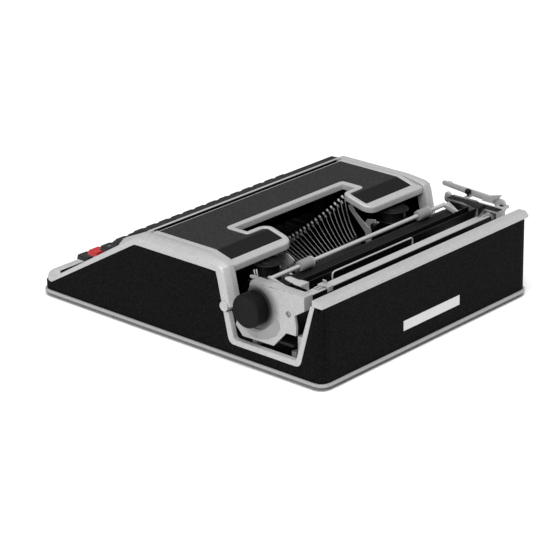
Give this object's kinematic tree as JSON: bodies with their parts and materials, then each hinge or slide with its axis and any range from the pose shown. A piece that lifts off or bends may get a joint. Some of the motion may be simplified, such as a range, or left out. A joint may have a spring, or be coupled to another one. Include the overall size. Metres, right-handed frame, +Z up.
{
  "type": "portable typewriter",
  "caption": "Manual portable typewriter with a sloped black case, silver trims, a T-shaped typing opening, a sliding carriage with platen and knobs, and a sprung keyboard.",
  "frame": {"origin": "on the surface it stands on, under the middle of the machine", "axes": "+X to the typist's right, +Y to the rear, +Z up"},
  "size_m": [0.36, 0.412, 0.1073],
  "materials": {
    "base": "satin",
    "shell": "black crinkle paint",
    "silver": "satin silver",
    "cover_panel": "fine black texture",
    "steel": "plated",
    "dark_steel": "satin black",
    "plate": "satin silver, worn",
    "rubber": "matte black",
    "knob": "matte black",
    "key_black": "satin",
    "key_red": "satin",
    "roller_grey": "matte",
    "grey_metal": "satin",
    "label": "plain satin"
  },
  "bodies": {
    "frame": {"base_plate": "base", "foot_front_right": "rubber", "foot_front_left": "rubber", "foot_rear_right": "rubber", "foot_rear_left": "rubber", "body_shell": "shell", "front_strip": "silver", "side_frame_right": "silver", "side_frame_left": "silver", "frame_stud_right": "silver", "frame_stud_left": "silver", "deck_strip": "silver", "front_cowl": "cover_panel", "cut_trim_right": "silver", "cut_trim_left": "silver", "rear_strip": "silver", "label_plate": "label", "chassis": "dark_steel", "carriage_rail_front": "steel", "carriage_rail_rear": "steel", "typebars": "steel", "type_segment": "dark_steel", "type_guide": "steel", "basket_plate_right": "grey_metal", "basket_plate_left": "grey_metal", "key_shaft": "steel"},
    "ribbon_cover": {"ribbon_cover_frame": "silver", "ribbon_cover_panel": "cover_panel"},
    "carriage": {"carriage_bed": "dark_steel", "end_plate_right": "plate", "end_plate_left": "plate", "paper_table": "dark_steel", "paper_rest": "dark_steel", "margin_rail": "steel"},
    "platen": {"platen": "rubber", "platen_shaft": "steel", "platen_knob_right": "knob", "platen_knob_left": "knob"},
    "paper_bail": {"paper_bail": "steel"},
    "bail_roller_right": {"bail_roller_right": "roller_grey"},
    "bail_roller_left": {"bail_roller_left": "roller_grey"},
    "paper_wire": {"paper_wire": "steel"},
    "margin_stop_right": {"margin_stop_right": "steel"},
    "margin_stop_left": {"margin_stop_left": "steel"},
    "return_lever": {"return_lever": "plate"},
    "line_space_selector": {"line_space_selector": "knob"},
    "release_lever_right": {"release_lever_right": "steel"},
    "release_lever_left": {"release_lever_left": "steel"},
    "ribbon_spool_right": {"ribbon_spool_right": "dark_steel"},
    "ribbon_spool_left": {"ribbon_spool_left": "dark_steel"},
    "key_row_1": {"key_row_1": "key_black"},
    "key_row_2": {"key_row_2": "key_black"},
    "key_row_3": {"key_row_3": "key_black"},
    "key_row_4": {"key_row_4": "key_black"},
    "centre_key": {"centre_key": "key_black"},
    "centre_typebar": {"centre_typebar": "steel"},
    "space_bar": {"space_bar": "key_black"},
    "shift_key_right": {"shift_key_right": "key_black"},
    "shift_key_left": {"shift_key_left": "key_black"},
    "red_key": {"red_key": "key_red"}
  },
  "joints": [
    {"name": "cover_lift", "type": "hinge", "parent": "frame", "child": "ribbon_cover", "pos_m": [0, -0.0411, 0.1013], "axis": [1, 0, 0], "range_deg": [0, 75]},
    {"name": "carriage_slide", "type": "slide", "parent": "frame", "child": "carriage", "axis": [1, 0, 0], "range_m": [-0.11, 0.11]},
    {"name": "platen_turn", "type": "hinge", "parent": "carriage", "child": "platen", "pos_m": [0, 0.1101, 0.0662], "axis": [1, 0, 0], "continuous": true},
    {"name": "bail_lift", "type": "hinge", "parent": "carriage", "child": "paper_bail", "pos_m": [0, 0.124, 0.083], "axis": [-1, 0, 0], "range_deg": [0, 60]},
    {"name": "bail_roller_turn_right", "type": "hinge", "parent": "paper_bail", "child": "bail_roller_right", "pos_m": [0.0835, 0.1062, 0.08795], "axis": [1, 0, 0], "continuous": true},
    {"name": "bail_roller_turn_left", "type": "hinge", "parent": "paper_bail", "child": "bail_roller_left", "pos_m": [-0.11, 0.1062, 0.08795], "axis": [1, 0, 0], "continuous": true},
    {"name": "wire_fold", "type": "hinge", "parent": "carriage", "child": "paper_wire", "pos_m": [0.015, 0.13868, 0.076], "axis": [-1, 0, 0], "range_deg": [0, 80]},
    {"name": "margin_stop_slide_right", "type": "slide", "parent": "carriage", "child": "margin_stop_right", "axis": [1, 0, 0], "range_m": [-0.1, 0.015]},
    {"name": "margin_stop_slide_left", "type": "slide", "parent": "carriage", "child": "margin_stop_left", "axis": [1, 0, 0], "range_m": [0, 0.1]},
    {"name": "return_lever_swing", "type": "hinge", "parent": "carriage", "child": "return_lever", "pos_m": [-0.1705, 0.1681, 0.095], "axis": [0, 0, 1], "range_deg": [0, 20], "stiffness_Nm_per_rad": 0.2, "springref_deg": -5.73},
    {"name": "line_space_tilt", "type": "hinge", "parent": "return_lever", "child": "line_space_selector", "pos_m": [-0.165, 0.1251, 0.0975], "axis": [1, 0, 0], "range_deg": [-15, 15]},
    {"name": "release_press_right", "type": "hinge", "parent": "carriage", "child": "release_lever_right", "pos_m": [0.1455, 0.1595, 0.0942], "axis": [-1, 0, 0], "range_deg": [0, 15], "stiffness_Nm_per_rad": 0.05, "springref_deg": -11.46},
    {"name": "release_press_left", "type": "hinge", "parent": "carriage", "child": "release_lever_left", "pos_m": [-0.1455, 0.1595, 0.0942], "axis": [-1, 0, 0], "range_deg": [0, 15], "stiffness_Nm_per_rad": 0.05, "springref_deg": -11.46},
    {"name": "spool_turn_right", "type": "hinge", "parent": "frame", "child": "ribbon_spool_right", "pos_m": [0.103, 0.07, 0.0815], "axis": [0, 0, 1], "continuous": true},
    {"name": "spool_turn_left", "type": "hinge", "parent": "frame", "child": "ribbon_spool_left", "pos_m": [-0.103, 0.07, 0.0815], "axis": [0, 0, 1], "continuous": true},
    {"name": "key_row_1_press", "type": "hinge", "parent": "frame", "child": "key_row_1", "pos_m": [0, 0.03, 0.013], "axis": [1, 0, 0], "range_deg": [0, 3.03], "stiffness_Nm_per_rad": 1, "springref_deg": -8.59},
    {"name": "key_row_2_press", "type": "hinge", "parent": "frame", "child": "key_row_2", "pos_m": [0, 0.03, 0.013], "axis": [1, 0, 0], "range_deg": [0, 3.37], "stiffness_Nm_per_rad": 1, "springref_deg": -8.59},
    {"name": "key_row_3_press", "type": "hinge", "parent": "frame", "child": "key_row_3", "pos_m": [0, 0.03, 0.013], "axis": [1, 0, 0], "range_deg": [0, 3.79], "stiffness_Nm_per_rad": 1, "springref_deg": -8.59},
    {"name": "key_row_4_press", "type": "hinge", "parent": "frame", "child": "key_row_4", "pos_m": [0, 0.03, 0.013], "axis": [1, 0, 0], "range_deg": [0, 4.33], "stiffness_Nm_per_rad": 1, "springref_deg": -8.59},
    {"name": "space_bar_press", "type": "hinge", "parent": "frame", "child": "space_bar", "pos_m": [0, 0.03, 0.013], "axis": [1, 0, 0], "range_deg": [0, 2.75], "stiffness_Nm_per_rad": 0.6, "springref_deg": -8.59},
    {"name": "shift_press_right", "type": "hinge", "parent": "frame", "child": "shift_key_right", "pos_m": [0.121, 0.03, 0.013], "axis": [1, 0, 0], "range_deg": [0, 2.75], "stiffness_Nm_per_rad": 0.1, "springref_deg": -8.59},
    {"name": "shift_press_left", "type": "hinge", "parent": "frame", "child": "shift_key_left", "pos_m": [-0.121, 0.03, 0.013], "axis": [1, 0, 0], "range_deg": [0, 2.75], "stiffness_Nm_per_rad": 0.1, "springref_deg": -8.59},
    {"name": "red_key_press", "type": "hinge", "parent": "frame", "child": "red_key", "pos_m": [0.1325, 0.03, 0.013], "axis": [1, 0, 0], "range_deg": [0, 3.03], "stiffness_Nm_per_rad": 0.1, "springref_deg": -8.59},
    {"name": "typebar_swing", "type": "hinge", "parent": "frame", "child": "centre_typebar", "pos_m": [0, 0.04243, 0.0293], "axis": [1, 0, 0], "range_deg": [-120, 0], "stiffness_Nm_per_rad": 0.001, "springref_deg": 17.19},
    {"name": "centre_key_press", "type": "hinge", "parent": "frame", "child": "centre_key", "pos_m": [-0.00475, 0.03, 0.013], "axis": [1, 0, 0], "range_deg": [0, 3.39]}
  ],
  "couplings": [
    {"joint": "centre_key_press", "follows": "typebar_swing", "ratio": -0.028249}
  ]
}
